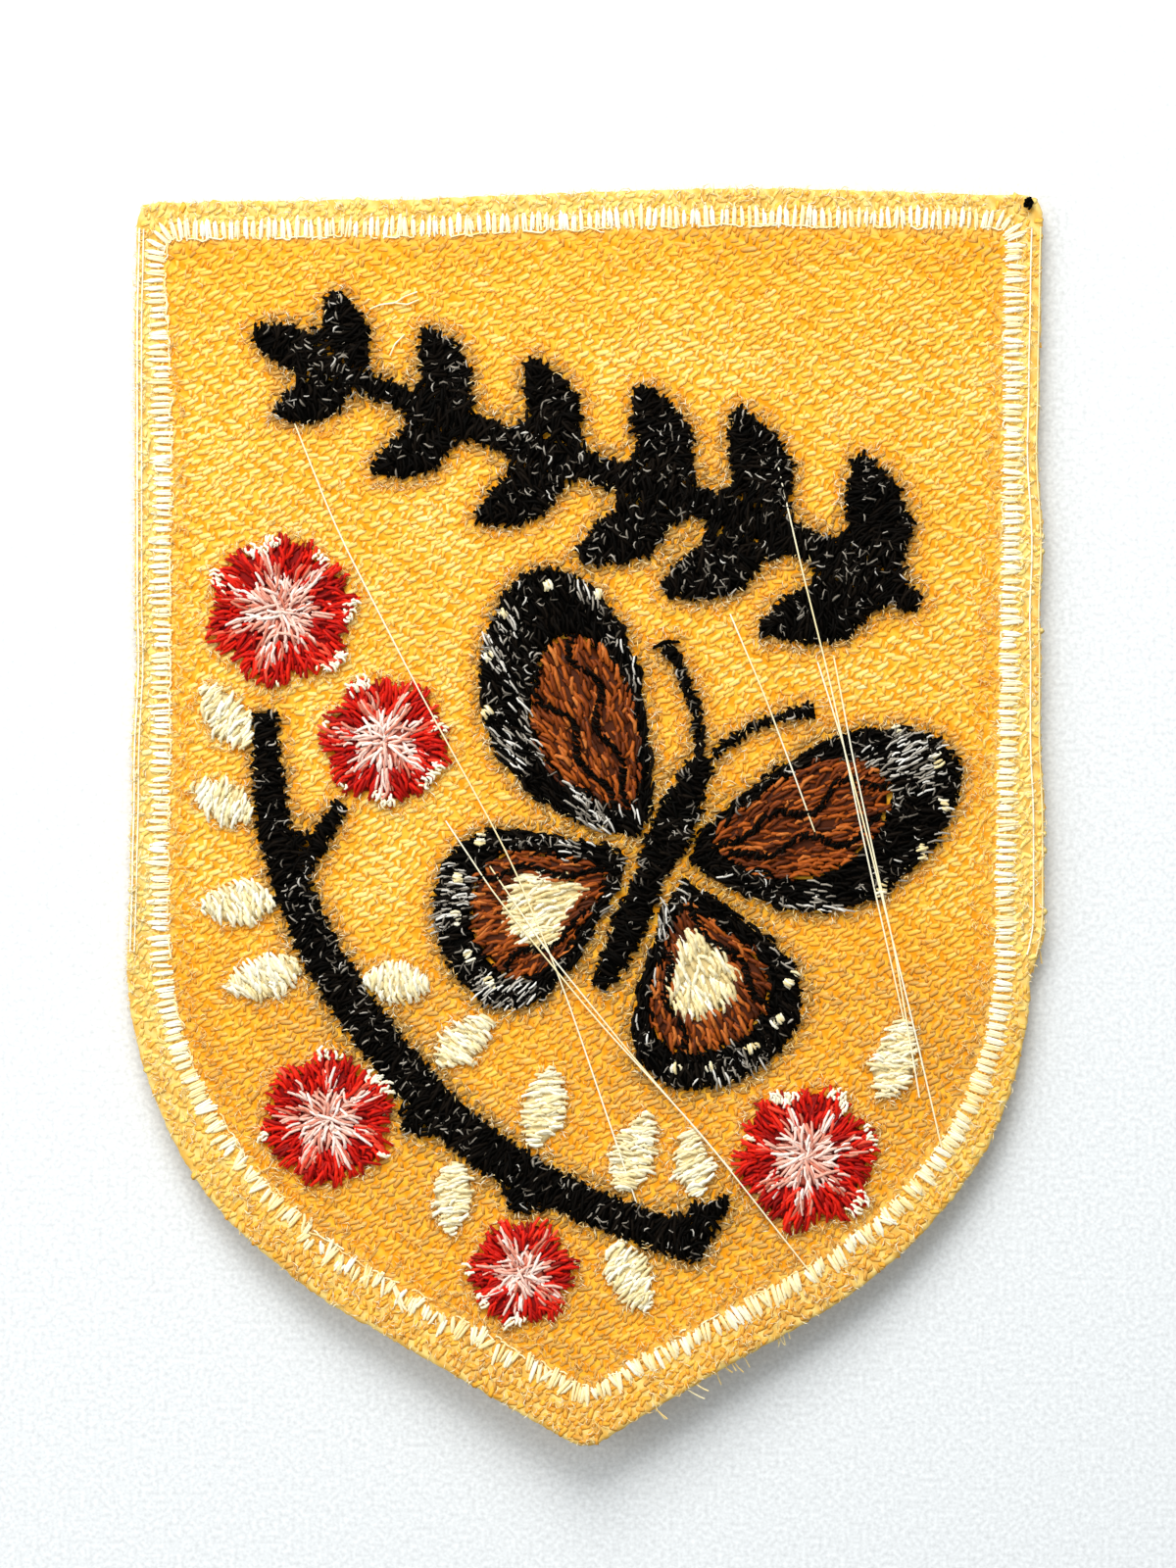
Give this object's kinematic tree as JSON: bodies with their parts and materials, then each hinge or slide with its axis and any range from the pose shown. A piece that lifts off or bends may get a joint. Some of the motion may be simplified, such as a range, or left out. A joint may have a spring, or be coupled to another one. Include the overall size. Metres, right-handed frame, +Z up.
{
  "type": "embroidered clothing patch",
  "caption": "Shield-shaped embroidered clothing patch of yellow twill with a butterfly, blooms and a black sprig, lying face down with its stitched back up.",
  "frame": {"origin": "under the middle of the patch, on the surface that it lies on", "axes": "+X to the right seen from above, +Y towards the straight top edge, +Z up, out of the stitched back"},
  "size_m": [0.0578, 0.079, 0.0038],
  "materials": {
    "yellow_twill": "cotton twill weave",
    "yellow_thread": "satin stitched thread",
    "white_bobbin": "white bobbin thread",
    "black_thread": "black thread with pale flecks",
    "rust_thread": "rust thread",
    "cream_thread": "cream thread",
    "red_thread": "red thread",
    "pink_thread": "pale pink and white thread"
  },
  "bodies": {
    "root": {"ground_cloth": "yellow_twill", "border_satin_face": "yellow_thread", "border_bobbin_back": "white_bobbin", "sprig_stem": "black_thread", "sprig_leaf_1": "black_thread", "sprig_leaf_2": "black_thread", "sprig_leaf_3": "black_thread", "sprig_leaf_4": "black_thread", "sprig_leaf_5": "black_thread", "sprig_leaf_6": "black_thread", "sprig_leaf_7": "black_thread", "sprig_leaf_8": "black_thread", "sprig_leaf_9": "black_thread", "sprig_leaf_10": "black_thread", "sprig_leaf_11": "black_thread", "sprig_leaf_12": "black_thread", "sprig_leaf_13": "black_thread", "twig_stem": "black_thread", "twig_shoot_1": "black_thread", "twig_shoot_2": "black_thread", "twig_shoot_3": "black_thread", "twig_shoot_4": "black_thread", "fore_wing_edge_left": "black_thread", "fore_wing_field_left": "rust_thread", "hind_wing_edge_left": "black_thread", "hind_wing_field_left": "rust_thread", "hind_wing_heart_left": "cream_thread", "antenna_left": "black_thread", "fore_wing_edge_right": "black_thread", "fore_wing_field_right": "rust_thread", "hind_wing_edge_right": "black_thread", "hind_wing_field_right": "rust_thread", "hind_wing_heart_right": "cream_thread", "antenna_right": "black_thread", "butterfly_body": "black_thread", "bloom_petals_1": "red_thread", "bloom_heart_1": "pink_thread", "bloom_petals_2": "red_thread", "bloom_heart_2": "pink_thread", "bloom_petals_3": "red_thread", "bloom_heart_3": "pink_thread", "bloom_petals_4": "red_thread", "bloom_heart_4": "pink_thread", "bloom_petals_5": "red_thread", "bloom_heart_5": "pink_thread", "cream_leaf_1": "cream_thread", "cream_leaf_2": "cream_thread", "cream_leaf_3": "cream_thread", "cream_leaf_4": "cream_thread", "cream_leaf_5": "cream_thread", "cream_leaf_6": "cream_thread", "cream_leaf_7": "cream_thread", "cream_leaf_8": "cream_thread", "cream_leaf_9": "cream_thread", "cream_leaf_10": "cream_thread", "cream_leaf_11": "cream_thread", "cream_leaf_12": "cream_thread"}
  },
  "joints": []
}
